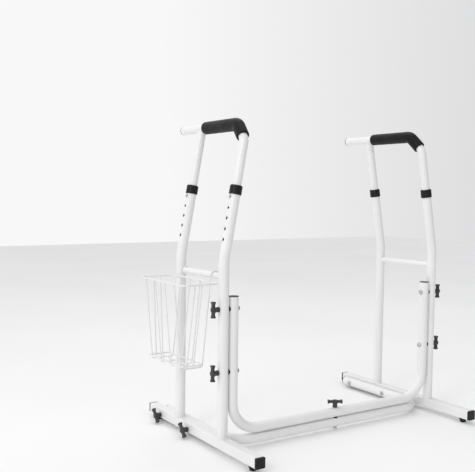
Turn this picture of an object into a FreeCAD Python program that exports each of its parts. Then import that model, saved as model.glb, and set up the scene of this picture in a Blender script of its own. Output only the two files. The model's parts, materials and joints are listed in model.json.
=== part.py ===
import FreeCAD, Part
import os
import re
from math import sin, tan

import Sketcher
from FreeCAD import Placement, Rotation, Vector

# A free-standing safety frame that stands round a toilet. Two side frames, left (-X) and right (+X),
# are joined by two bent tubes, and carry height-adjustable handles. A wire basket hangs on the left one.
# Sizes are in mm and degrees. X runs across the frame, Y from front to rear, Z up from the floor.
# The design point (0, 0) is where the frame's mid-plane meets the line through the two front uprights.
SIZES = {
    # side frames
    "side_x": 347.0, "tube_od": 25.4, "tube_wall": 1.2, "upright_pitch": 208.0,
    "rail_front": -162.0, "rail_rear": 362.0, "rail_side": 25.4, "rail_wall": 1.5, "rail_round": 3.0,
    "cap_flange": 5.0, "cap_depth": 14.0, "cap_clearance": 0.1,
    "foot_height": 12.0, "foot_top_radius": 11.5, "foot_tip_radius": 6.8, "foot_round": 2.0,
    "foot_front_y": -132.0, "foot_rear_y": 327.0,
    "bend_z": 460.0, "lean": 10.4, "lean_radius": 160.0, "upright_top": 176.0,
    "hole_radius": 4.15, "top_hole": 149.0, "hole_pitch": 25.4, "hole_count": 5,
    "bar_od": 16.0, "bar_z": 421.0,
    # collars at the tops of the uprights
    "collar_low": 156.0, "collar_high": 178.0, "collar_radius": 15.0, "collar_bore": 12.75,
    "lip_bore": 11.5, "collar_round": 3.0,
    # handles
    "grip_z": 781.0, "handle_od": 22.2, "handle_low": 125.0, "handle_slant": 39.0,
    "handle_bend": 24.0, "handle_end": 304.0, "grip_rear": 189.5, "grip_od": 32.4,
    "grip_bore": 11.15, "grip_drop": 31.9, "grip_round": 1.5, "plug_flange": 2.0, "plug_depth": 14.0,
    # snap buttons, measured from the upright's axis
    "button_radius": 3.8, "button_tip": 14.7, "button_flange": 5.4, "flange_low": 7.4,
    "flange_high": 8.1, "button_hole": 4.1, "button_round": 1.6,
    "clip_width": 7.0, "clip_sheet": 0.7, "clip_reach": 7.1, "clip_back": 9.0,
    "clip_length": 44.0, "clip_tail": 6.0, "clip_fold": 1.5,
    # the two bent tubes that join the sides
    "u_x": 320.0, "u_bend": 73.0, "base_u_z": 21.0, "u_gap": 0.8, "front_u_top": 373.0,
    "base_u_rear": 326.0,
    # bolts and wing knobs
    "bolt_radius": 3.0, "bolt_hole": 3.2, "head_radius": 6.5, "head_height": 3.4, "head_round": 2.6,
    "knob_high_z": 345.0, "knob_low_z": 195.0, "rail_knob_front": 146.0, "rail_knob_rear": 294.0,
    "knob_gap": 0.4, "knob_height": 20.0, "hub_radius": 6.5, "hub_height": 13.0, "knob_bore": 3.05,
    "bore_depth": 12.0, "wing_span": 38.6, "wing_depth": 9.0, "wing_width": 8.6, "wing_round": 3.0,
    "wing_root": 5.4, "saddle_radius": 7.0, "saddle_gap": 0.05,
    # basket
    "rim_front": -5.0, "rim_rear": 213.0, "low_front": 32.0, "low_rear": 199.0,
    "basket_width": 97.0, "basket_foot": 80.0, "basket_tuck": 21.0, "basket_rim_z": 406.0,
    "basket_low_z": 211.0,
    "wire_radius": 2.0, "rib_radius": 1.6, "rim_round": 16.0, "low_round": 8.0, "basket_gap": 0.4,
    "rib_front": 42.0, "rib_pitch": 49.0, "rib_drop": 8.0, "rib_tuck": 1.5, "hook_tip_z": 411.0,
    "long_rib_inner": 44.0, "long_rib_outer": 62.0,
}

doc = FreeCAD.newDocument("toilet_safety_frame")
sheet = doc.addObject("Spreadsheet::Sheet", "Sizes")
for row, (alias, size) in enumerate(SIZES.items(), start=1):
    sheet.set(f"A{row}", alias)
    sheet.set(f"B{row}", str(size))
    sheet.setAlias(f"B{row}", alias)
doc.recompute()

nodes = []
X_AXIS, Y_AXIS, Z_AXIS = Vector(1, 0, 0), Vector(0, 1, 0), Vector(0, 0, 1)


# ---------------------------------------------------------------- helpers
def on_sheet(formula):
    """The formula with each size's alias written as the sheet's cell."""
    return re.sub(r"[a-z]\w+", lambda m: "Sizes." + m[0] if m[0] in SIZES else m[0], formula)


def number(formula):
    """A formula's present value. A quantity's own angles are in radians."""
    text = re.sub(r"\b(cos|sin|tan)\((\w+)\)", r"\1(\2 * pi / 180)", formula)
    text = re.sub(r"[a-z]\w+", lambda m: str(SIZES.get(m[0], m[0])), text)
    return FreeCAD.Units.Quantity(text).Value


def bind(thing, prop, formula):
    thing.setExpression(prop, on_sheet(formula))


def node(thing, label):
    """Marks a finished object as one of the frame's pieces."""
    thing.Label = label
    nodes.append(thing)
    return thing


def place(thing, x, y, z, turn=Rotation()):
    """Puts a piece at a design point. The row's origin is under the middle of the whole frame."""
    thing.Placement = Placement(Vector(x - ORIGIN_X, y - ORIGIN_Y, z), turn)
    return thing


def new_body(name):
    return doc.addObject("PartDesign::Body", name)


def sketch(body, name, role, lift=None):
    """A sketch on one of the body's own origin planes, lifted along the plane's normal."""
    drawn = body.newObject("Sketcher::SketchObject", name)
    support = next(f for f in body.Origin.OriginFeatures if f.Role == role)
    drawn.AttachmentSupport = [(support, "")]
    drawn.MapMode = "FlatFace"
    if lift:
        bind(drawn, "AttachmentOffset.Base.z", lift)
    return drawn


def fix_point(drawn, geo, pos, u, v):
    """Holds a sketch point at the two formulas."""
    for kind, axis, formula in (("DistanceX", -2, u), ("DistanceY", -1, v)):
        if formula == "0":
            drawn.addConstraint(Sketcher.Constraint("PointOnObject", geo, pos, axis))
            continue
        place_in_list = drawn.addConstraint(
            Sketcher.Constraint(kind, -1, 1, geo, pos, number(formula)))
        bind(drawn, f"Constraints[{place_in_list}]", formula)


def polygon(drawn, corners):
    """A closed outline through corners given as formulas."""
    points = [Vector(number(u), number(v), 0) for u, v in corners]
    first = drawn.GeometryCount
    count = len(points)
    for i in range(count):
        drawn.addGeometry(Part.LineSegment(points[i], points[(i + 1) % count]), False)
    for i in range(count):
        drawn.addConstraint(
            Sketcher.Constraint("Coincident", first + i, 2, first + (i + 1) % count, 1))
    for i, (u, v) in enumerate(corners):
        fix_point(drawn, first + i, 1, u, v)


def circle(drawn, u, v, radius):
    geo = drawn.addGeometry(Part.Circle(Vector(number(u), number(v), 0), Z_AXIS, number(radius)), False)
    fix_point(drawn, geo, 3, u, v)
    place_in_list = drawn.addConstraint(Sketcher.Constraint("Radius", geo, number(radius)))
    bind(drawn, f"Constraints[{place_in_list}]", radius)


def bent_line(drawn, corners, radius, closed=False):
    """A path through the corners, rounded at each inner corner by a tangent arc."""
    points = [Vector(number(u), number(v), 0) for u, v in corners]
    bend = number(radius)
    starts, ends, arcs = [points[0]], [], []
    for before, here, after in zip(points, points[1:], points[2:]):
        back = (before - here).normalize()
        ahead = (after - here).normalize()
        half = back.getAngle(ahead) / 2
        reach = bend / tan(half)
        ends.append(here + back * reach)
        starts.append(here + ahead * reach)
        middle = here + (back + ahead).normalize() * (bend / sin(half) - bend)
        arcs.append(Part.Arc(ends[-1], middle, starts[-1]))
    ends.append(points[-1])
    lines = [drawn.addGeometry(Part.LineSegment(a, b), False) for a, b in zip(starts, ends)]
    fix_point(drawn, lines[0], 1, *corners[0])
    if closed:
        drawn.addConstraint(Sketcher.Constraint("Coincident", lines[0], 1, lines[-1], 2))
    else:
        fix_point(drawn, lines[-1], 2, *corners[-1])
    for i, arc in enumerate(arcs):
        bow = drawn.addGeometry(arc, False)
        begins_at_line = drawn.getPoint(bow, 1).distanceToPoint(ends[i]) < 1e-6
        near, far = (1, 2) if begins_at_line else (2, 1)
        drawn.addConstraint(Sketcher.Constraint("Tangent", lines[i], 2, bow, near))
        drawn.addConstraint(Sketcher.Constraint("Tangent", bow, far, lines[i + 1], 1))
        place_in_list = drawn.addConstraint(Sketcher.Constraint("Radius", bow, bend))
        bind(drawn, f"Constraints[{place_in_list}]", radius)
        corner = drawn.addGeometry(Part.Point(points[i + 1]), True)
        fix_point(drawn, corner, 1, *corners[i + 1])
        drawn.addConstraint(Sketcher.Constraint("PointOnObject", corner, 1, lines[i]))
        drawn.addConstraint(Sketcher.Constraint("PointOnObject", corner, 1, lines[i + 1]))
    return len(lines) + len(arcs)


def pad(body, drawn, length, middle=False, backwards=False):
    solid = body.newObject("PartDesign::Pad", drawn.Name + "Pad")
    solid.Profile = drawn
    bind(solid, "Length", length)
    solid.Midplane = middle
    solid.Reversed = backwards
    doc.recompute()
    return solid


def pocket(body, drawn, length=None, both_ways=False, backwards=False):
    """Cuts a sketch out of the body, to a length or right through, and tests that it cut something."""
    before = body.Shape.Volume
    cut = body.newObject("PartDesign::Pocket", drawn.Name + "Pocket")
    cut.Profile = drawn
    cut.Reversed = backwards
    if length:
        bind(cut, "Length", length)
    else:
        cut.Type = "ThroughAll"
    cut.Midplane = both_ways
    doc.recompute()
    assert body.Shape.Volume < before - 1, body.Label
    return cut


def revolve(body, outline):
    """Turns an outline of (radius, height) corners about the body's Z axis."""
    drawn = sketch(body, body.Name + "Outline", "XZ_Plane")
    polygon(drawn, outline)
    turned = body.newObject("PartDesign::Revolution", body.Name + "Turned")
    turned.Profile = drawn
    turned.ReferenceAxis = (drawn, ["V_Axis"])
    turned.Angle = 360
    doc.recompute()
    return turned


def pipe(body, profile, spine, edges, suffix="Pipe"):
    swept = body.newObject("PartDesign::AdditivePipe", body.Name + suffix)
    swept.Profile = profile
    swept.Spine = (spine, [f"Edge{i + 1}" for i in range(edges)])
    doc.recompute()
    return swept


def round_edges(body, radius, wanted):
    """Fillets those edges of the body's last feature that the test accepts."""
    base = body.Tip
    names = [f"Edge{i + 1}" for i, edge in enumerate(base.Shape.Edges) if wanted(edge)]
    assert names, body.Label
    rounded = body.newObject("PartDesign::Fillet", base.Name + "Round")
    rounded.Base = (base, names)
    bind(rounded, "Radius", radius)
    doc.recompute()
    return rounded


def ring_at(edge, height, radius):
    """True for a round edge about the Z axis at that height and radius."""
    return (hasattr(edge.Curve, "Radius") and abs(edge.Curve.Radius - radius) < 1e-4
            and abs(edge.Curve.Center.z - height) < 1e-4)


def group(label, pieces):
    """Identical pieces that share one node, each a solid of its own."""
    together = doc.addObject("Part::Compound", label + "_group")
    together.Links = pieces
    return node(together, label)


def cut_away(label, base, tools):
    """A piece less the tools, as a chain of Part::Cut."""
    for tool in tools:
        less = doc.addObject("Part::Cut", label + "_cut")
        less.Base = base
        less.Tool = tool
        base = less
    return base


def rod(name, radius, length, x, y, z, turn=Rotation()):
    """A plain cylinder, from the design point along its own axis."""
    bar = doc.addObject("Part::Cylinder", name)
    bind(bar, "Radius", radius)
    bind(bar, "Height", length)
    return place(bar, x, y, z, turn)


def along(direction):
    """The turn that takes +Z to a direction."""
    return Rotation(Z_AXIS, direction)


# ---------------------------------------------------------------- derived sizes
RAIL_TOP = "foot_height + rail_side"
RAIL_MID = "foot_height + rail_side / 2"
GRIP_RISE = "(grip_z - bend_z) / cos(lean)"
FRONT_U_Z = "base_u_z + tube_od + u_gap"
KNOB_X = "side_x + tube_od / 2 + knob_gap"
BASKET_X = "side_x + tube_od / 2 + basket_gap + wire_radius"
SIDES = {"left": -1, "right": 1}
# The row's origin is on the floor under the middle of the frame's box.
ORIGIN_X = number(f"({KNOB_X} + knob_height - ({BASKET_X} + basket_width + wire_radius)) / 2")
ORIGIN_Y = number("(rail_front + rail_rear) / 2")


def on_lean(thing, side, x, y, s, turn=Rotation()):
    """Puts a piece in a side's leaning frame: s runs up the leaning tubes from the bend."""
    lean = Placement(Vector(side * sheet.side_x - ORIGIN_X, -ORIGIN_Y, sheet.bend_z),
                     Rotation(Y_AXIS, -side * sheet.lean))
    thing.Placement = lean * Placement(Vector(x, y, s), turn)
    return thing


def outward(side):
    """The turn that points a piece's +Z away from the middle of the frame."""
    return along(X_AXIS * side)


# ---------------------------------------------------------------- side frames
def base_rail(name, side):
    """A square tube that lies along the floor, drilled for the two bolts of the base tube."""
    body = new_body(name)
    section = sketch(body, name + "Section", "XZ_Plane", "-(rail_front + cap_flange)")
    for half in ("rail_side / 2", "rail_side / 2 - rail_wall"):
        polygon(section, [(f"-({half})", f"-({half})"), (half, f"-({half})"), (half, half),
                          (f"-({half})", half)])
    pad(body, section, "rail_rear - rail_front - 2 * cap_flange", backwards=True)
    half = sheet.rail_side / 2
    round_edges(body, "rail_round", lambda e: e.Length > 100 and abs(abs(e.CenterOfMass.x) - half) < 1e-4)
    holes = sketch(body, name + "Holes", "YZ_Plane")
    for y in ("rail_knob_front", "rail_knob_rear"):
        circle(holes, y, f"base_u_z - ({RAIL_MID})", "bolt_hole")
    pocket(body, holes, both_ways=True)
    return place(body, side * sheet.side_x, 0, number(RAIL_MID))


def upright(name, side, y, bolted):
    """A round tube that stands on the rail, leans in above its bend, and has five holes outside."""
    body = new_body(name)
    spine = sketch(body, name + "Spine", "XZ_Plane")
    edges = bent_line(spine, [("0", RAIL_TOP), ("0", "bend_z"),
                              (f"{-side} * sin(lean) * upright_top", "bend_z + cos(lean) * upright_top")],
                      "lean_radius")
    section = sketch(body, name + "Section", "XY_Plane", RAIL_TOP)
    circle(section, "0", "0", "tube_od / 2")
    circle(section, "0", "0", "tube_od / 2 - tube_wall")
    pipe(body, section, spine, edges)
    if bolted:
        bolts = sketch(body, name + "Bolts", "YZ_Plane")
        circle(bolts, "0", "knob_high_z", "bolt_hole")
        circle(bolts, "0", "knob_low_z", "bolt_hole")
        pocket(body, bolts, both_ways=True)
    hole = sketch(body, name + "Hole", "YZ_Plane")
    hole.AttachmentOffset = Placement(Vector(0, sheet.bend_z, 0), Rotation(X_AXIS, -side * sheet.lean))
    circle(hole, "0", "top_hole", "hole_radius")
    cut = pocket(body, hole, "tube_od", backwards=side > 0)
    before = body.Shape.Volume
    row = body.newObject("PartDesign::LinearPattern", name + "HoleRow")
    row.Originals = [cut]
    row.Direction = (hole, ["V_Axis"])
    row.Reversed = True
    bind(row, "Length", "(hole_count - 1) * hole_pitch")
    bind(row, "Occurrences", "hole_count")
    body.Tip = row
    doc.recompute()
    assert body.Shape.Volume < before - 1, name
    return place(body, side * sheet.side_x, y, 0)


def cross_bar(name, side):
    """A thinner tube welded between a side's two uprights, with its ends coped to them."""
    bar = rod(name + "_outside", "bar_od / 2", "upright_pitch", side * sheet.side_x, 0, sheet.bar_z,
              along(Y_AXIS))
    inside = rod(name + "_inside", "bar_od / 2 - tube_wall", "upright_pitch", side * sheet.side_x, 0,
                 sheet.bar_z, along(Y_AXIS))
    tubes = [rod(f"{name}_cope{i}", "tube_od / 2", "4 * bar_od", side * sheet.side_x, y,
                 sheet.bar_z - 2 * sheet.bar_od) for i, y in enumerate((0, sheet.upright_pitch))]
    return cut_away(name, bar, [inside] + tubes)


def rail_cap(name, side, y, turn):
    """A plastic cap pushed into a rail's end."""
    body = new_body(name)
    for part, half, length, outside in (
            ("Tongue", "rail_side / 2 - rail_wall - cap_clearance", "cap_depth", False),
            ("Flange", "rail_side / 2", "cap_flange", True)):
        drawn = sketch(body, name + part, "XZ_Plane")
        polygon(drawn, [(f"-({half})", f"-({half})"), (half, f"-({half})"), (half, half),
                        (f"-({half})", half)])
        pad(body, drawn, length, backwards=outside)
    half = sheet.rail_side / 2
    round_edges(body, "rail_round", lambda e: abs(e.Length - sheet.cap_flange) < 1e-4
                and abs(abs(e.CenterOfMass.x) - half) < 1e-4 and abs(e.CenterOfMass.y) > 1e-3)
    return place(body, side * sheet.side_x, y, number(RAIL_MID), turn)


def foot(name, side, y):
    """A tapered rubber foot under the rail."""
    body = new_body(name)
    revolve(body, [("0", "0"), ("foot_tip_radius", "0"), ("foot_top_radius", "foot_height"),
                   ("0", "foot_height")])
    round_edges(body, "foot_round", lambda e: ring_at(e, 0, sheet.foot_tip_radius))
    return place(body, side * sheet.side_x, y, 0)


def collar(name, side, y):
    """A plastic collar that closes the gap between an upright and the tube that slides in it."""
    body = new_body(name)
    revolve(body, [("lip_bore", "collar_high"), ("lip_bore", "upright_top"), ("collar_bore", "upright_top"),
                   ("collar_bore", "collar_low"), ("collar_radius", "collar_low"),
                   ("collar_radius", "collar_high")])
    round_edges(body, "collar_round", lambda e: ring_at(e, sheet.collar_high, sheet.collar_radius))
    return on_lean(body, side, 0, y, 0)


# ---------------------------------------------------------------- handles
def handle_tube(name, side):
    """The bent handle: its front leg slides in the front upright, and its top runs back to a stub."""
    body = new_body(name)
    spine = sketch(body, name + "Spine", "YZ_Plane")
    edges = bent_line(spine, [("0", "handle_low"), ("0", f"{GRIP_RISE} - handle_slant"),
                              ("handle_slant", GRIP_RISE), ("handle_end", GRIP_RISE)], "handle_bend")
    section = sketch(body, name + "Section", "XY_Plane", "handle_low")
    circle(section, "0", "0", "handle_od / 2")
    circle(section, "0", "0", "handle_od / 2 - tube_wall")
    pipe(body, section, spine, edges)
    hole = sketch(body, name + "Hole", "YZ_Plane")
    circle(hole, "0", "top_hole", "button_hole")
    pocket(body, hole, "handle_od", backwards=side > 0)
    return on_lean(body, side, 0, 0, 0)


def handle_rear_leg(name, side):
    """The straight leg that slides in the rear upright, coped and welded under the handle."""
    body = new_body(name + "_tube")
    section = sketch(body, name + "Section", "XY_Plane", "handle_low")
    circle(section, "0", "0", "handle_od / 2")
    circle(section, "0", "0", "handle_od / 2 - tube_wall")
    pad(body, section, f"{GRIP_RISE} - handle_low")
    hole = sketch(body, name + "Hole", "YZ_Plane")
    circle(hole, "0", "top_hole", "button_hole")
    pocket(body, hole, "handle_od", backwards=side > 0)
    on_lean(body, side, 0, sheet.upright_pitch, 0)
    cope = doc.addObject("Part::Cylinder", name + "_cope")
    bind(cope, "Radius", "handle_od / 2")
    bind(cope, "Height", "2 * handle_od")
    on_lean(cope, side, 0, sheet.upright_pitch - sheet.handle_od, number(GRIP_RISE), along(Y_AXIS))
    return cut_away(name, body, [cope])


def foam_grip(name, side):
    """A foam sleeve round the handle's top and its front slant, cut square at both ends."""
    body = new_body(name)
    spine = sketch(body, name + "Spine", "YZ_Plane")
    edges = bent_line(spine, [("grip_rear", GRIP_RISE), ("handle_slant", GRIP_RISE),
                              ("handle_slant - grip_drop", f"{GRIP_RISE} - grip_drop")], "handle_bend")
    section = sketch(body, name + "Section", "XZ_Plane", "-grip_rear")
    circle(section, "0", GRIP_RISE, "grip_od / 2")
    circle(section, "0", GRIP_RISE, "grip_bore")
    pipe(body, section, spine, edges)
    half = sheet.grip_od / 2
    round_edges(body, "grip_round", lambda e: hasattr(e.Curve, "Radius") and e.Closed
                and abs(e.Curve.Radius - half) < 1e-4)
    return on_lean(body, side, 0, 0, 0)


def round_plug(name, od):
    """A plastic plug for the end of a round tube, with its flange on the outside."""
    body = new_body(name)
    tongue = f"{od} / 2 - tube_wall - cap_clearance"
    revolve(body, [("0", "-plug_depth"), (tongue, "-plug_depth"), (tongue, "0"), (f"{od} / 2", "0"),
                   (f"{od} / 2", "plug_flange"), ("0", "plug_flange")])
    return body


def snap_button(name, side, y):
    """A sprung button that stands out through the top hole and locks the handle's height."""
    body = new_body(name)
    revolve(body, [("0", "flange_low"), ("button_flange", "flange_low"), ("button_flange", "flange_high"),
                   ("button_radius", "flange_high"), ("button_radius", "button_tip"), ("0", "button_tip")])
    round_edges(body, "button_round", lambda e: ring_at(e, sheet.button_tip, sheet.button_radius))
    return on_lean(body, side, 0, y, sheet.top_hole, outward(side))


def clip_spring(name, side, y):
    """The folded strip of spring steel inside the leg, which pushes the button out."""
    body = new_body(name)
    strip = sketch(body, name + "Strip", "XZ_Plane")
    polygon(strip, [("clip_reach", "-clip_tail"), ("clip_fold", "clip_length"),
                    ("-clip_fold", "clip_length"), ("-clip_back", "-clip_tail"),
                    ("clip_sheet - clip_back", "-clip_tail"), ("0", "clip_length - 4 * clip_sheet"),
                    ("clip_reach - clip_sheet", "-clip_tail")])
    pad(body, strip, "clip_width", middle=True)
    facing = Rotation(Z_AXIS, 0 if side > 0 else 180)
    return on_lean(body, side, 0, y, sheet.top_hole, facing)


# ---------------------------------------------------------------- bent tubes, bolts and knobs
def joining_tube(name, plane, lift, corners, start_plane, start_lift, start):
    """A round tube bent to a U in one plane, with a bolt hole in the middle of its long run."""
    body = new_body(name)
    spine = sketch(body, name + "Spine", plane, lift)
    edges = bent_line(spine, corners, "u_bend")
    section = sketch(body, name + "Section", start_plane, start_lift)
    circle(section, *start, "tube_od / 2")
    circle(section, *start, "tube_od / 2 - tube_wall")
    pipe(body, section, spine, edges)
    middle = sketch(body, name + "Middle", "XY_Plane")
    circle(middle, "0", "0", "bolt_hole")
    pocket(body, middle, both_ways=True)
    return body


def side_holes(body, centres):
    holes = sketch(body, body.Name + "SideHoles", "YZ_Plane")
    for y, z in centres:
        circle(holes, y, z, "bolt_hole")
    pocket(body, holes, both_ways=True)
    return body


def bolt(name, length):
    """A dome-headed bolt, its head below its origin and its shank along +Z."""
    body = new_body(name)
    revolve(body, [("0", "-head_height"), ("head_radius", "-head_height"), ("head_radius", "0"),
                   ("bolt_radius", "0"), ("bolt_radius", length), ("0", length)])
    round_edges(body, "head_round", lambda e: ring_at(e, -sheet.head_height, sheet.head_radius))
    return body


def wing_knob(name):
    """A two-winged knob with a blind bore for its bolt. Its axis is +Z and its wings lie along X."""
    body = new_body(name)
    revolve(body, [("0", "0"), ("hub_radius", "0"), ("hub_radius", "hub_height"), ("0", "hub_height")])
    wings = sketch(body, name + "Wings", "XZ_Plane")
    under = "knob_height - wing_depth"
    polygon(wings, [("-wing_root", "hub_height / 3"), ("wing_root", "hub_height / 3"),
                    ("wing_root", "hub_height / 2"), ("wing_span / 2", under),
                    ("wing_span / 2", "knob_height"), ("-wing_span / 2", "knob_height"),
                    ("-wing_span / 2", under), ("-wing_root", "hub_height / 2")])
    pad(body, wings, "wing_width", middle=True)
    tip = sheet.wing_span / 2
    round_edges(body, "wing_round", lambda e: abs(e.Length - sheet.wing_width) < 1e-4
                and abs(abs(e.CenterOfMass.x) - tip) < 1e-4)
    bore = sketch(body, name + "Bore", "XY_Plane")
    circle(bore, "0", "0", "knob_bore")
    pocket(body, bore, "bore_depth", backwards=True)
    return body


def saddle(name, start, direction, length, tubes):
    """A plastic spacer on a bolt, hollowed to sit against the tubes that it parts."""
    blank = rod(name + "_blank", "saddle_radius", length, *start, along(direction))
    hole = rod(name + "_hole", "bolt_hole", length, *start, along(direction))
    tools = [hole]
    for i, (x, y, z, axis) in enumerate(tubes):
        reach = 2 * sheet.tube_od
        tools.append(rod(f"{name}_tube{i}", "tube_od / 2 + saddle_gap", "4 * tube_od",
                         x - reach * axis.x, y - reach * axis.y, z - reach * axis.z, along(axis)))
    return cut_away(name, blank, tools)


# ---------------------------------------------------------------- basket
RIB_INSET = "wire_radius + rib_radius"
RIB_FLOOR = "basket_low_z - rib_drop"


def wire_loop(name, inner, width, front, rear, z, rounding):
    """A closed, round-cornered loop of wire, level, from inner to width outboard of the basket's back."""
    body = new_body(name)
    spine = sketch(body, name + "Spine", "XY_Plane", z)
    near, far = f"-({inner})", f"-({width})"
    middle = (near, f"({front} + {rear}) / 2")
    edges = bent_line(spine, [middle, (near, rear), (far, rear), (far, front), (near, front), middle],
                      rounding, closed=True)
    section = sketch(body, name + "Section", "XZ_Plane", f"-({front} + {rear}) / 2")
    circle(section, near, z, "wire_radius")
    pipe(body, section, spine, edges)
    return place(body, -number(BASKET_X), 0, 0)


def cross_rib(name, y, hooked):
    """A wire down the basket's leaning back, under its bottom and up the leaning outer side.

    A hooked one starts on the far side of the cross bar, goes over it and then down the back."""
    body = new_body(name)
    bottom = [(f"{RIB_INSET} - basket_tuck", RIB_FLOOR),
              (f"{RIB_INSET} + rib_tuck - basket_foot", RIB_FLOOR),
              (f"{RIB_INSET} - basket_width", "basket_rim_z")]
    spine = sketch(body, name + "Spine", "XZ_Plane")
    edges = bent_line(spine, [(RIB_INSET, "basket_rim_z")] + bottom, "4 * rib_radius")
    section = sketch(body, name + "Section", "XY_Plane", "basket_rim_z")
    circle(section, RIB_INSET, "0", "rib_radius")
    pipe(body, section, spine, edges)
    if hooked:
        bar_x = f"{BASKET_X} - side_x"
        crown = "bar_z + bar_od / 2 + basket_gap + rib_radius"
        radius = f"{BASKET_X} - ({RIB_INSET}) - side_x"
        over = sketch(body, name + "Hook", "XZ_Plane")
        edges = hook_line(over, bar_x, crown, radius)
        section = sketch(body, name + "HookSection", "XY_Plane", "basket_rim_z")
        circle(section, RIB_INSET, "0", "rib_radius")
        pipe(body, section, over, edges, "HookPipe")
    return place(body, -number(BASKET_X), y, 0)


def hook_line(drawn, bar_x, crown, radius):
    """A path up from the rim, half way round over the bar, and down to the hook's tip."""
    centre, top, reach = number(bar_x), number(crown), number(radius)
    low = top - reach
    first = Part.LineSegment(Vector(centre - reach, sheet.basket_rim_z, 0), Vector(centre - reach, low, 0))
    over = Part.Arc(Vector(centre - reach, low, 0), Vector(centre, top, 0), Vector(centre + reach, low, 0))
    last = Part.LineSegment(Vector(centre + reach, low, 0), Vector(centre + reach, sheet.hook_tip_z, 0))
    up, bow, down = (drawn.addGeometry(part, False) for part in (first, over, last))
    fix_point(drawn, up, 1, f"{bar_x} - ({radius})", "basket_rim_z")
    fix_point(drawn, bow, 3, bar_x, f"{crown} - ({radius})")
    drawn.addConstraint(Sketcher.Constraint("Vertical", up))
    drawn.addConstraint(Sketcher.Constraint("Tangent", up, 2, bow, 2))
    drawn.addConstraint(Sketcher.Constraint("Tangent", bow, 1, down, 1))
    held = drawn.addConstraint(Sketcher.Constraint("DistanceY", -1, 1, down, 2, sheet.hook_tip_z))
    bind(drawn, f"Constraints[{held}]", "hook_tip_z")
    return 3


def long_rib(name, x):
    """A wire down the slanted front, along the bottom on top of the cross ribs, and up the rear."""
    body = new_body(name)
    spine = sketch(body, name + "Spine", "YZ_Plane")
    floor = f"{RIB_FLOOR} + 2 * rib_radius"
    edges = bent_line(spine, [(f"rim_front + {RIB_INSET}", "basket_rim_z"),
                              (f"low_front + {RIB_INSET} + rib_tuck", floor),
                              (f"low_rear - ({RIB_INSET}) - rib_tuck", floor),
                              (f"rim_rear - ({RIB_INSET})", "basket_rim_z")], "4 * rib_radius")
    section = sketch(body, name + "Section", "XZ_Plane", f"-(low_front + low_rear) / 2")
    circle(section, "0", floor, "rib_radius")
    pipe(body, section, spine, edges)
    return place(body, -number(BASKET_X) - x, 0, 0)


# ---------------------------------------------------------------- the two sides
def build_side(name, side):
    pitch = sheet.upright_pitch
    knob_x = side * number(KNOB_X)
    head_x = side * (sheet.u_x - sheet.tube_od / 2)
    rail_mid_y = {"front": sheet.rail_knob_front, "rear": sheet.rail_knob_rear}
    upright_z = {"upper": sheet.knob_high_z, "lower": sheet.knob_low_z}
    bolt_length = "side_x - u_x + tube_od + knob_gap + bore_depth - 2"

    node(base_rail(f"{name}_rail", side), f"{name}_base_rail")
    node(upright(f"{name}_front_tube", side, 0, True), f"{name}_front_upright")
    node(upright(f"{name}_rear_tube", side, pitch, False), f"{name}_rear_upright")
    node(cross_bar(f"{name}_bar", side), f"{name}_cross_bar")
    about = Rotation(Z_AXIS, 180)
    group(f"{name}_rail_caps",
          [rail_cap(f"{name}_front_cap", side, sheet.rail_front + sheet.cap_flange, about),
           rail_cap(f"{name}_rear_cap", side, sheet.rail_rear - sheet.cap_flange, Rotation())])
    group(f"{name}_feet", [foot(f"{name}_front_foot", side, sheet.foot_front_y),
                           foot(f"{name}_rear_foot", side, sheet.foot_rear_y)])
    group(f"{name}_collars", [collar(f"{name}_front_collar", side, 0),
                              collar(f"{name}_rear_collar", side, pitch)])

    node(handle_tube(f"{name}_handle", side), f"{name}_handle_tube")
    node(handle_rear_leg(f"{name}_leg", side), f"{name}_handle_rear_leg")
    node(foam_grip(f"{name}_foam", side), f"{name}_foam_grip")
    end_plug = on_lean(round_plug(f"{name}_stub_plug", "handle_od"), side, 0, sheet.handle_end,
                       number(GRIP_RISE), along(Y_AXIS))
    node(end_plug, f"{name}_handle_plug")
    node(snap_button(f"{name}_button_front", side, 0), f"{name}_front_button")
    node(snap_button(f"{name}_button_rear", side, pitch), f"{name}_rear_button")
    group(f"{name}_clip_springs", [clip_spring(f"{name}_front_clip", side, 0),
                                   clip_spring(f"{name}_rear_clip", side, pitch)])

    bolts = [place(bolt(f"{name}_{where}_bolt", bolt_length), head_x, 0, z, outward(side))
             for where, z in upright_z.items()]
    group(f"{name}_upright_bolts", bolts)
    bolts = [place(bolt(f"{name}_rail_{where}_bolt", bolt_length), head_x, y, sheet.base_u_z,
                   outward(side)) for where, y in rail_mid_y.items()]
    group(f"{name}_rail_bolts", bolts)
    for where, z in upright_z.items():
        knob = place(wing_knob(f"{name}_{where}_wings"), knob_x, 0, z, outward(side))
        node(knob, f"{name}_{where}_knob")
    for where, y in rail_mid_y.items():
        turned = outward(side) * Rotation(Z_AXIS, RAIL_KNOB_TURN[name])
        knob = place(wing_knob(f"{name}_rail_{where}_wings"), knob_x, y, sheet.base_u_z, turned)
        node(knob, f"{name}_rail_{where}_knob")

    apart = "side_x - u_x"
    saddles = [saddle(f"{name}_{where}_saddle", (side * sheet.u_x, 0, z), X_AXIS * side, apart,
                      [(side * sheet.u_x, 0, z, Z_AXIS), (side * sheet.side_x, 0, z, Z_AXIS)])
               for where, z in upright_z.items()]
    group(f"{name}_upright_saddles", saddles)
    apart = "side_x - rail_side / 2 - saddle_gap - u_x"
    saddles = [saddle(f"{name}_rail_{where}_saddle", (side * sheet.u_x, y, sheet.base_u_z), X_AXIS * side,
                      apart, [(side * sheet.u_x, y, sheet.base_u_z, Y_AXIS)])
               for where, y in rail_mid_y.items()]
    group(f"{name}_rail_saddles", saddles)


# How far each side's rail knobs are turned on their bolts, and the centre one.
RAIL_KNOB_TURN = {"left": 40, "right": 90}
CENTRE_KNOB_TURN = -30
for side_name, direction in SIDES.items():
    build_side(side_name, direction)

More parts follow.
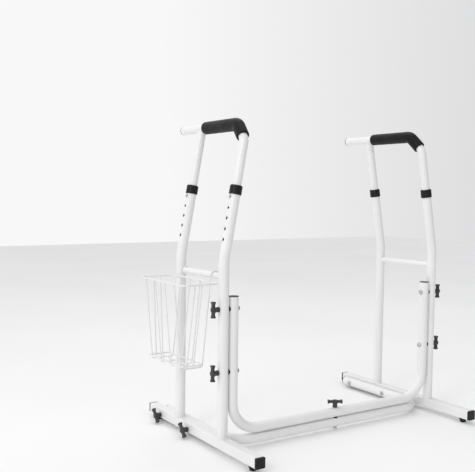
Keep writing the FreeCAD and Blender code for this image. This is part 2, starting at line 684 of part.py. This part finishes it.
# ---------------------------------------------------------------- the tubes between the sides
front_u = joining_tube(
    "front_u", "XZ_Plane", None,
    [("-u_x", "front_u_top"), ("-u_x", FRONT_U_Z), ("u_x", FRONT_U_Z), ("u_x", "front_u_top")],
    "XY_Plane", "front_u_top", ("-u_x", "0"))
side_holes(front_u, [("0", "knob_high_z"), ("0", "knob_low_z")])
node(place(front_u, 0, 0, 0), "front_u_tube")

base_u = joining_tube(
    "base_u", "XY_Plane", "base_u_z",
    [("-u_x", "base_u_rear"), ("-u_x", "0"), ("u_x", "0"), ("u_x", "base_u_rear")],
    "XZ_Plane", "-base_u_rear", ("-u_x", "base_u_z"))
side_holes(base_u, [("rail_knob_front", "base_u_z"), ("rail_knob_rear", "base_u_z")])
node(place(base_u, 0, 0, 0), "base_u_tube")

group("front_u_plugs", [place(round_plug(f"front_u_{name}_plug", "tube_od"), side * sheet.u_x, 0,
                              sheet.front_u_top) for name, side in SIDES.items()])
group("base_u_plugs", [place(round_plug(f"base_u_{name}_plug", "tube_od"), side * sheet.u_x,
                             sheet.base_u_rear, sheet.base_u_z, along(Y_AXIS))
                       for name, side in SIDES.items()])
front_u_z = number(FRONT_U_Z)
centre_bolt = bolt("middle_bolt", "2 * tube_od + u_gap + knob_gap + bore_depth - 2")
node(place(centre_bolt, 0, 0, sheet.base_u_z - sheet.tube_od / 2), "centre_bolt")
centre_knob = place(wing_knob("middle_wings"), 0, 0, front_u_z + sheet.tube_od / 2 + sheet.knob_gap,
                    Rotation(Z_AXIS, CENTRE_KNOB_TURN))
node(centre_knob, "centre_knob")
node(saddle("middle_saddle", (0, 0, sheet.base_u_z), Z_AXIS, "tube_od + u_gap",
            [(0, 0, sheet.base_u_z, X_AXIS), (0, 0, front_u_z, X_AXIS)]), "centre_saddle")

# ---------------------------------------------------------------- the basket on the left side
group("basket_rims", [wire_loop("rim_loop", "0", "basket_width", "rim_front", "rim_rear",
                                "basket_rim_z", "rim_round"),
                      wire_loop("low_loop", "basket_tuck", "basket_foot", "low_front", "low_rear",
                                "basket_low_z", "low_round")])
rib_y = [sheet.rib_front + i * sheet.rib_pitch for i in range(4)]
group("basket_cross_ribs", [cross_rib(f"cross_rib{i}", y, False) for i, y in enumerate(rib_y[1:-1])])
group("basket_hook_ribs", [cross_rib("front_hook_rib", rib_y[0], True),
                           cross_rib("rear_hook_rib", rib_y[-1], True)])
group("basket_long_ribs", [long_rib("inner_long_rib", sheet.long_rib_inner),
                           long_rib("outer_long_rib", sheet.long_rib_outer)])

# ---------------------------------------------------------------- checks and files
doc.recompute()
for thing in doc.Objects:
    assert not {"Invalid", "Error"} & set(thing.State), (thing.Name, thing.State)
os.makedirs("parts", exist_ok=True)
for piece in nodes:
    assert not piece.Shape.isNull() and piece.Shape.isValid(), piece.Label
    piece.Shape.exportStep(f"parts/{piece.Label}.step")
print(len(nodes), "nodes; origin at design point", round(ORIGIN_X, 3), round(ORIGIN_Y, 3))
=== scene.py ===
import json
import math

import bmesh
import bpy
import numpy as np
from mathutils import Matrix, Vector
from mathutils.kdtree import KDTree


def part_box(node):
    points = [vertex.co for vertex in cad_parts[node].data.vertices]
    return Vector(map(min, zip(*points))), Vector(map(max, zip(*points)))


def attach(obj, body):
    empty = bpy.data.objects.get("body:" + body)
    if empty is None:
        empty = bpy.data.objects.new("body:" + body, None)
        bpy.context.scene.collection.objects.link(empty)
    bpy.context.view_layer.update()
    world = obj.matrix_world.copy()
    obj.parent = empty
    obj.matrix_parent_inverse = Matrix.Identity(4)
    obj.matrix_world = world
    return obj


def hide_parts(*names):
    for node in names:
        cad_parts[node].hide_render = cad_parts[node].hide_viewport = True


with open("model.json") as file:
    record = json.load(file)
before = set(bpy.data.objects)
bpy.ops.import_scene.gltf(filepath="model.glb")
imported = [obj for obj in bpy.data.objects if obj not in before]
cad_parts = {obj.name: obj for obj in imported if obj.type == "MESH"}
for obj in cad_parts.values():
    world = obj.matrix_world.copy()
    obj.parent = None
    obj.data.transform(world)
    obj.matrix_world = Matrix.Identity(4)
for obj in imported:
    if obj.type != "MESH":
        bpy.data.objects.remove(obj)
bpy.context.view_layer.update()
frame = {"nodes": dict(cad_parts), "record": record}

MM = 0.001
SIDES = ("left", "right")
INWARD = {"front": 1.0, "rear": -1.0}       # the way along Y from each upright to the other
JOINTS = {joint["name"]: joint for joint in frame["record"]["behaviour"]["joints"]}


# ---------------------------------------------------------------- materials
def new_material(name, **sockets):
    """A material with one Principled shader, whose uniform values are set on its own sockets."""
    material = bpy.data.materials.new(name)
    material.use_nodes = True
    shader = material.node_tree.nodes["Principled BSDF"]
    for socket, value in sockets.items():
        shader.inputs[socket.replace("_", " ")].default_value = value
    return material, shader


def coordinates(material):
    """Each point's own place in the frame, so that a pattern has its real size."""
    return material.node_tree.nodes.new("ShaderNodeTexCoord").outputs["Object"]


def noise(material, scale, detail=4.0, rough=0.5):
    texture = material.node_tree.nodes.new("ShaderNodeTexNoise")
    texture.inputs["Scale"].default_value = scale
    texture.inputs["Detail"].default_value = detail
    texture.inputs["Roughness"].default_value = rough
    material.node_tree.links.new(coordinates(material), texture.inputs["Vector"])
    return texture.outputs["Fac"]


def cells(material, scale):
    texture = material.node_tree.nodes.new("ShaderNodeTexVoronoi")
    texture.inputs["Scale"].default_value = scale
    material.node_tree.links.new(coordinates(material), texture.inputs["Vector"])
    return texture.outputs["Distance"]


def ramp(material, factor, low, high, start=0.3, end=0.7):
    """Maps a texture onto two colours, or two grey values."""
    node = material.node_tree.nodes.new("ShaderNodeValToRGB")
    node.color_ramp.elements[0].position = start
    node.color_ramp.elements[1].position = end
    for element, colour in zip(node.color_ramp.elements, (low, high)):
        element.color = colour if isinstance(colour, tuple) else (colour, colour, colour, 1.0)
    material.node_tree.links.new(factor, node.inputs["Fac"])
    return node.outputs["Color"]


def bump(material, shader, heights):
    """Chains bumps, each (texture, strength, distance in metres), into the shader's normal."""
    normal = None
    for height, strength, distance in heights:
        node = material.node_tree.nodes.new("ShaderNodeBump")
        node.inputs["Strength"].default_value = strength
        node.inputs["Distance"].default_value = distance
        material.node_tree.links.new(height, node.inputs["Height"])
        if normal:
            material.node_tree.links.new(normal, node.inputs["Normal"])
        normal = node.outputs["Normal"]
    material.node_tree.links.new(normal, shader.inputs["Normal"])


def link(material, output, shader, socket):
    material.node_tree.links.new(output, shader.inputs[socket])


def powder_coat(name, tone, shade, peel):
    """Gloss powder coat: fine orange peel, faint clouding of the white, and uneven gloss."""
    material, shader = new_material(name, Coat_Weight=0.35, Coat_Roughness=0.18)
    link(material, ramp(material, noise(material, 9.0, 6.0), shade, tone), shader, "Base Color")
    link(material, ramp(material, noise(material, 45.0, 5.0), 0.30, 0.42), shader, "Roughness")
    bump(material, shader, [(noise(material, 520.0, 2.0), 0.16, peel),
                            (noise(material, 60.0, 3.0), 0.10, 2 * peel)])
    return material


def moulded(name, dark, light, rough, grain, depth):
    """Moulded plastic or rubber: a fine spark-eroded grain and uneven sheen."""
    material, shader = new_material(name, Specular_IOR_Level=0.28)
    link(material, ramp(material, noise(material, 70.0, 6.0), dark, light), shader, "Base Color")
    link(material, ramp(material, noise(material, 160.0, 4.0), rough - 0.07, rough + 0.07), shader,
         "Roughness")
    bump(material, shader, [(cells(material, grain), 0.35, depth), (noise(material, 90.0), 0.12, depth)])
    return material


def foam():
    """Closed-cell foam: pores of two sizes, a soft sheen, and patches of slightly different black."""
    material, shader = new_material("grip_foam", Sheen_Weight=0.008, Sheen_Roughness=0.45,
                                    Specular_IOR_Level=0.16)
    tone = ramp(material, noise(material, 28.0, 6.0, 0.6), (0.0035, 0.0035, 0.004, 1),
                (0.010, 0.010, 0.0105, 1))
    link(material, tone, shader, "Base Color")
    link(material, ramp(material, noise(material, 40.0, 6.0), 0.36, 0.52), shader, "Roughness")
    bump(material, shader, [(cells(material, 900.0), 0.55, 0.22 * MM),
                            (noise(material, 1800.0), 0.25, 0.1 * MM),
                            (noise(material, 35.0, 4.0), 0.25, 0.8 * MM)])
    return material


def metal(name, dark, light, rough):
    """Plated or plain steel: clouded plating, uneven gloss and a finely roughened surface."""
    material, shader = new_material(name, Metallic=1.0)
    link(material, ramp(material, noise(material, 130.0, 8.0), dark, light), shader, "Base Color")
    link(material, ramp(material, noise(material, 300.0, 6.0), rough - 0.1, rough + 0.1), shader,
         "Roughness")
    bump(material, shader, [(noise(material, 700.0, 6.0), 0.2, 0.08 * MM)])
    return material


MATERIALS = {
    "white_steel": powder_coat("white_steel", tone=(0.83, 0.83, 0.825, 1), shade=(0.79, 0.793, 0.796, 1),
                              peel=0.12 * MM),
    "white_wire": powder_coat("white_wire", tone=(0.80, 0.80, 0.795, 1), shade=(0.75, 0.753, 0.756, 1),
                             peel=0.16 * MM),
    "black_plastic": moulded("black_plastic", dark=0.003, light=0.007, rough=0.34, grain=1500.0,
                             depth=0.06 * MM),
    "knob_plastic": moulded("knob_plastic", dark=0.030, light=0.060, rough=0.40, grain=1300.0,
                            depth=0.08 * MM),
    "foot_rubber": moulded("foot_rubber", dark=0.008, light=0.018, rough=0.62, grain=1100.0,
                           depth=0.12 * MM),
    "grip_foam": foam(),
    "zinc_steel": metal("zinc_steel", dark=(0.40, 0.41, 0.43, 1), light=(0.60, 0.61, 0.62, 1), rough=0.34),
    "spring_steel": metal("spring_steel", dark=(0.25, 0.26, 0.28, 1), light=(0.40, 0.41, 0.43, 1),
                          rough=0.30),
}
SLOT_OF = {sub["node"]: sub["material_slot"] for sub in frame["record"]["subparts"]}


def finish_nodes():
    """Gives every carried-over piece its own finish."""
    for name, obj in frame["nodes"].items():
        obj.data.materials.clear()
        obj.data.materials.append(MATERIALS[SLOT_OF[name]])


# ---------------------------------------------------------------- mesh helpers
def new_piece(name, mesh, material, body):
    """A finished mesh as a piece that rides on a body."""
    obj = bpy.data.objects.new(name, mesh)
    bpy.context.scene.collection.objects.link(obj)
    obj.data.materials.clear()
    obj.data.materials.append(MATERIALS[material])
    for face in obj.data.polygons:
        face.use_smooth = True
    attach(obj, body)
    return obj


def softened(name, mesh, voxel, passes):
    """The mesh rebuilt from voxels of one size and smoothed, which rounds its edges."""
    work = bpy.data.objects.new(name + "_work", mesh)
    bpy.context.scene.collection.objects.link(work)
    remesh = work.modifiers.new("voxels", "REMESH")
    remesh.mode = "VOXEL"
    remesh.voxel_size = voxel
    smooth = work.modifiers.new("smooth", "SMOOTH")
    smooth.factor = 0.5
    smooth.iterations = passes
    bpy.context.view_layer.update()
    finished = work.evaluated_get(bpy.context.evaluated_depsgraph_get())
    result = bpy.data.meshes.new_from_object(finished)
    result.name = name
    bpy.data.objects.remove(work)
    return result


def finished_mesh(name, shape):
    """A bmesh shape as a mesh with its faces turned outward."""
    bmesh.ops.recalc_face_normals(shape, faces=shape.faces)
    mesh = bpy.data.meshes.new(name)
    shape.to_mesh(mesh)
    shape.free()
    return mesh


def body_of(node):
    bodies = frame["record"]["behaviour"]["bodies"]
    return next(name for name, nodes in bodies.items() if node in nodes)


def middle(node):
    """The middle of a node's box."""
    low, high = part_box(node)
    return (Vector(low) + Vector(high)) / 2


def half_width(node, axis):
    """Half of a node's size along X (0), Y (1) or Z (2)."""
    low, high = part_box(node)
    return (high[axis] - low[axis]) / 2


# ---------------------------------------------------------------- foam grips
def uneven(mesh, depth, ripples=(210.0, 160.0, 130.0)):
    """Sinks the surface along its normals by waves whose ripples are in radians a metre."""
    count = len(mesh.vertices)
    places, normals = np.empty(3 * count), np.empty(3 * count)
    mesh.vertices.foreach_get("co", places)
    mesh.vertices.foreach_get("normal", normals)
    places, normals = places.reshape(-1, 3), normals.reshape(-1, 3)
    wave = (np.sin(places[:, 1] * ripples[1])
            * np.sin(places[:, 0] * ripples[0] + places[:, 2] * ripples[2]))
    places -= normals * (depth * (0.6 + 0.4 * wave))[:, None]
    mesh.vertices.foreach_set("co", places.ravel())


def foam_grips():
    """Each grip's sleeve with softened ends and a surface that is a little uneven, as foam is."""
    for side in SIDES:
        node = f"{side}_foam_grip"
        mesh = softened(node + "_sleeve", frame["nodes"][node].data.copy(), voxel=1.5 * MM, passes=6)
        uneven(mesh, 0.35 * MM)
        grip = new_piece(f"{side}_grip_sleeve", mesh, "grip_foam", f"{side}_handle")
        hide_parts(node)


# ---------------------------------------------------------------- wing knobs
def lathe(shape, outline, steps=48):
    """Turns an outline of (radius, height) points about Z into a closed surface."""
    turns = [2 * math.pi * i / steps for i in range(steps)]
    rings = [[shape.verts.new((radius * math.cos(turn), radius * math.sin(turn), height)) for turn in turns]
             for radius, height in outline]
    for low, high in zip(rings, rings[1:]):
        for i in range(steps):
            j = (i + 1) % steps
            shape.faces.new((low[i], low[j], high[j], high[i]))
    shape.faces.new(list(reversed(rings[0])))
    shape.faces.new(rings[-1])


def slab(shape, outline, half):
    """An outline in XZ given a thickness that may differ at each corner."""
    near = [shape.verts.new((x, -half(x), z)) for x, z in outline]
    far = [shape.verts.new((x, half(x), z)) for x, z in outline]
    count = len(outline)
    for i in range(count):
        j = (i + 1) % count
        shape.faces.new((near[i], near[j], far[j], far[i]))
    shape.faces.new(list(reversed(near)))
    shape.faces.new(far)


def knob_mesh(name, height, hub=6.5 * MM, span=38.4 * MM, width=10.4 * MM, steps=24):
    """A T-shaped wing knob: a flanged hub, a waist, and two wings that swell towards their ends."""
    foot = [(0.93 * hub, 0.0), (1.02 * hub, 0.7 * MM), (1.02 * hub, 3.6 * MM), (0.92 * hub, 4.6 * MM)]
    waist = [(0.90 * hub, 6.5 * MM), (1.0 * hub, 0.46 * height)]
    head = [(1.24 * hub, 0.60 * height), (1.26 * hub, 0.80 * height),
            (1.1 * hub, height - 1.6 * MM), (0.72 * hub, height - 0.5 * MM)]
    shape = bmesh.new()
    lathe(shape, foot + waist + head)

    def out(x):
        """How far along its wing a point is, from 0 at the hub to 1 at the tip."""
        return abs(x) / (span / 2)

    across = [-span / 2 + span * step / steps for step in range(steps + 1)]
    upper = [(x, height - 0.2 * MM - 1.8 * MM * math.sin(math.pi * out(x))) for x in across]
    lower = [(x, height * (0.48 + 0.12 * math.sin(math.pi * out(x)))) for x in reversed(across)]
    slab(shape, upper + lower, lambda x: width / 2 * (0.72 + 0.28 * out(x) ** 2))
    return finished_mesh(name, shape)


def wing_direction(node, origin, axis):
    """The way a knob's wings point at rest: the line of its widest spread about its axis."""
    points = np.array([vertex.co for vertex in frame["nodes"][node].data.vertices]) - np.array(origin)
    flat = points - np.outer(points @ np.array(axis), np.array(axis))
    values, vectors = np.linalg.eigh(flat.T @ flat)
    return Vector(vectors[:, values.argmax()])


def knobs():
    """A wing knob in place of each knob's CAD solid, as tall as that is, its wings lying the same way."""
    for name in [node for node in frame["nodes"] if node.endswith("_knob")]:
        joint = JOINTS[name + "_turn"]
        origin, axis = Vector(joint["pos_m"]), Vector(joint["axis"])
        height = max(abs((Vector(corner) - origin).dot(axis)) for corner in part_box(name))
        mesh = softened(name + "_wings", knob_mesh(name + "_blank", height), voxel=0.5 * MM, passes=4)
        across = wing_direction(name, origin, axis)
        turn = Matrix((across, axis.cross(across), axis)).transposed()
        mesh.transform(Matrix.Translation(origin) @ turn.to_4x4())
        piece = new_piece(name.replace("_knob", "_wing_knob"), mesh, "knob_plastic", body_of(name))
        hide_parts(name)


# ---------------------------------------------------------------- welds
def bead(name, points, radius, body, around=10, pitch=2.1 * MM, depth=0.16):
    """A closed weld bead along a seam: a thin roll whose surface ripples as it was laid."""
    count = len(points)
    centre = sum(points, Vector()) / count
    turns = [2 * math.pi * k / around for k in range(around)]
    shape = bmesh.new()
    rings = []
    length = 0.0
    for i, point in enumerate(points):
        tangent = (points[(i + 1) % count] - points[i - 1]).normalized()
        out = point - centre
        out = (out - tangent * out.dot(tangent)).normalized()
        side = tangent.cross(out)
        length += (point - points[i - 1]).length
        reach = radius * (1.0 + depth * math.cos(length / pitch * 2 * math.pi))
        rings.append([shape.verts.new(point + (out * math.cos(turn) + side * math.sin(turn)) * reach)
                      for turn in turns])
    for i in range(count):
        here, there = rings[i], rings[(i + 1) % count]
        for k in range(around):
            j = (k + 1) % around
            shape.faces.new((here[k], here[j], there[j], there[k]))
    return new_piece(name, finished_mesh(name, shape), "white_steel", body)


def seam(placed, curve, steps=140):
    """Points of a closed seam, from its curve of an angle in a local frame."""
    return [placed @ Vector(curve(2 * math.pi * i / steps)) for i in range(steps)]


def foot_weld(side, place, radius=1.7 * MM, rise=0.4 * MM):
    """A bead round an upright where it stands on the base rail, drawn in at the rail's edges."""
    tube = half_width(f"{side}_rear_upright", 1)
    across_rail, along_rail = tube - 0.3 * MM, tube + 0.4 * MM
    rail = middle(f"{side}_base_rail")
    rail_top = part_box(f"{side}_base_rail")[1][2]
    foot = Vector((rail.x, middle(f"{side}_{place}_upright").y, rail_top + rise))

    def ring(angle):
        return (across_rail * math.cos(angle), along_rail * math.sin(angle), 0)

    bead(f"{side}_{place}_foot_weld", seam(Matrix.Translation(foot), ring), radius, "frame")


def bar_weld(side, place, radius=1.3 * MM, proud=0.3 * MM):
    """A bead round the end of the cross bar, where it is coped to an upright."""
    tube = half_width(f"{side}_rear_upright", 1) + proud
    bar = half_width(f"{side}_cross_bar", 0) + proud
    rail = middle(f"{side}_base_rail")
    joint = Vector((rail.x, middle(f"{side}_{place}_upright").y, middle(f"{side}_cross_bar").z))

    def cope(angle):
        x, z = bar * math.cos(angle), bar * math.sin(angle)
        return (x, INWARD[place] * math.sqrt(tube ** 2 - x * x), z)

    bead(f"{side}_{place}_bar_weld", seam(Matrix.Translation(joint), cope), radius, "frame")


def handle_weld(side, radius=1.5 * MM):
    """A bead where the handle's rear leg meets the handle tube from below."""
    tube = half_width(f"{side}_handle_rear_leg", 1)
    around_leg, under_tube = tube + 0.2 * MM, tube + 0.5 * MM
    slide = Vector(JOINTS[f"{side}_handle_slide"]["axis"])
    deep = Vector((0, 1, 0))
    lean = Matrix((deep.cross(slide).normalized(), deep, slide)).transposed().to_4x4()
    plug = middle(f"{side}_handle_plug")
    top = Vector((plug.x, middle(f"{side}_handle_rear_leg").y, plug.z))

    def saddle(angle):
        x, y = around_leg * math.cos(angle), around_leg * math.sin(angle)
        return (x, y, -math.sqrt(max(0.0, under_tube ** 2 - x * x)))

    bead(f"{side}_handle_weld", seam(Matrix.Translation(top) @ lean, saddle), radius, f"{side}_handle")


def wires(node):
    """The vertices of each separate wire in a node, close enough together to measure a gap by."""
    shape = bmesh.new()
    shape.from_mesh(frame["nodes"][node].data)
    bmesh.ops.remove_doubles(shape, verts=shape.verts, dist=0.01 * MM)
    longest, shortest = 64 * MM, 2 * MM
    while longest >= shortest:
        long_edges = [edge for edge in shape.edges if edge.calc_length() > longest]
        bmesh.ops.subdivide_edges(shape, edges=long_edges, cuts=1)
        longest /= 2
    shape.verts.ensure_lookup_table()
    left, found = set(range(len(shape.verts))), []
    while left:
        queue, points = [left.pop()], []
        while queue:
            vertex = shape.verts[queue.pop()]
            points.append(vertex.co.copy())
            for edge in vertex.link_edges:
                other = edge.other_vert(vertex).index
                if other in left:
                    left.remove(other)
                    queue.append(other)
        found.append(np.array(points))
    shape.free()
    return found


def crossings(one, other, reach=1.7 * MM, apart=12 * MM):
    """The places where two wires come within reach of each other."""
    tree = KDTree(len(other))
    for i, point in enumerate(other):
        tree.insert(point, i)
    tree.balance()
    spots = []
    for point in [point for point in one if tree.find(point)[2] < reach]:
        spot = next((found for found in spots if np.linalg.norm(found[0] - point) < apart), None)
        if spot is None:
            spots.append([point])
        else:
            spot.append(point)
    return [Vector(np.mean(spot, axis=0)) for spot in spots]


def basket_welds(size=1.9 * MM):
    """A small ball of weld wherever two wires of the basket touch."""
    upright = wires("basket_cross_ribs") + wires("basket_hook_ribs")
    long_ribs = wires("basket_long_ribs")
    pairs = [(rim, rib) for rim in wires("basket_rims") for rib in upright + long_ribs]
    pairs += [(long_rib, rib) for long_rib in long_ribs for rib in upright]
    shape = bmesh.new()
    for one, other in pairs:
        for spot in crossings(one, other):
            bmesh.ops.create_icosphere(shape, subdivisions=3, radius=size, matrix=Matrix.Translation(spot))
    mesh = bpy.data.meshes.new("basket_weld_nuggets")
    shape.to_mesh(mesh)
    shape.free()
    new_piece("basket_weld_nuggets", mesh, "white_wire", "basket")


# ---------------------------------------------------------------- stage, lights and camera
def floor(width=14.0):
    """A plain pale floor under the frame."""
    bpy.ops.mesh.primitive_plane_add(size=width, location=(0, 0, 0))
    ground = bpy.context.object
    ground.name = "studio_floor"
    material, shader = new_material("studio_floor")
    link(material, ramp(material, noise(material, 1.2, 2.0), 0.90, 0.93), shader, "Base Color")
    link(material, ramp(material, noise(material, 3.0, 2.0), 0.70, 0.80), shader, "Roughness")
    ground.data.materials.append(material)


def studio_light(dim_side=(0.84, -0.54, 0.0), bright=0.94, dim=0.38):
    """White light from all round that falls off towards one side, which gives the tubes their shading."""
    world = bpy.data.worlds.new("studio")
    world.use_nodes = True
    tree = world.node_tree
    sky = tree.nodes["Background"]
    sky.inputs["Color"].default_value = (1.0, 1.0, 1.0, 1.0)
    toward = tree.nodes.new("ShaderNodeVectorMath")
    toward.operation = "DOT_PRODUCT"
    toward.inputs[1].default_value = dim_side
    fall = tree.nodes.new("ShaderNodeMapRange")
    fall.inputs["From Min"].default_value = -0.1
    fall.inputs["From Max"].default_value = 1.0
    fall.inputs["To Min"].default_value = bright
    fall.inputs["To Max"].default_value = dim
    tree.links.new(tree.nodes.new("ShaderNodeTexCoord").outputs["Generated"], toward.inputs[0])
    tree.links.new(toward.outputs["Value"], fall.inputs["Value"])
    tree.links.new(fall.outputs["Result"], sky.inputs["Strength"])
    bpy.context.scene.world = world
    bpy.context.scene.view_settings.view_transform = "Standard"


def area_light(name, place, target, size, power):
    data = bpy.data.lights.new(name, "AREA")
    data.shape = "DISK"
    data.size = size
    data.energy = power
    light = bpy.data.objects.new(name, data)
    bpy.context.scene.collection.objects.link(light)
    light.location = place
    aim = Vector(target) - Vector(place)
    light.rotation_euler = aim.to_track_quat("-Z", "Y").to_euler()


def camera():
    """The photograph's view: from the front left, with the eye below the height of the grips."""
    azimuth, elevation, roll = (math.radians(angle) for angle in (-34.06, 4.17, 0.79))
    distance = 1.929
    picture_width, focal_length = 475.0, 755.1      # both in the picture's own units
    across_shift, up_shift = -17.5, 14.0            # and these
    mid_plane = Vector((middle("front_u_tube").x, middle("left_rear_upright").y, 0.0))
    target = mid_plane + Vector((-0.1927, -0.108, 0.4728))
    back = Vector((math.sin(azimuth) * math.cos(elevation), -math.cos(azimuth) * math.cos(elevation),
                   math.sin(elevation)))
    right = (-back).cross(Vector((0, 0, 1))).normalized()
    up = right.cross(-back)
    rolled_right = right * math.cos(roll) + up * math.sin(roll)
    rolled_up = up * math.cos(roll) - right * math.sin(roll)
    data = bpy.data.cameras.new("camera")
    data.sensor_width = 36.0
    data.lens = focal_length * data.sensor_width / picture_width
    data.shift_x = across_shift / picture_width
    data.shift_y = up_shift / picture_width
    eye = bpy.data.objects.new("camera", data)
    bpy.context.scene.collection.objects.link(eye)
    turn = Matrix((rolled_right, rolled_up, back)).transposed().to_4x4()
    eye.matrix_world = Matrix.Translation(target + back * distance) @ turn
    bpy.context.scene.camera = eye


finish_nodes()
foam_grips()
knobs()
for side_name in SIDES:
    for place_name in INWARD:
        foot_weld(side_name, place_name)
        bar_weld(side_name, place_name)
    handle_weld(side_name)
basket_welds()
floor()
studio_light()
area_light("key", place=(-3.2, -1.4, 2.4), target=(0, 0, 0.4), size=1.4, power=30.0)
area_light("top", place=(0.2, 0.8, 3.2), target=(0, 0, 0.3), size=2.2, power=16.0)
camera()
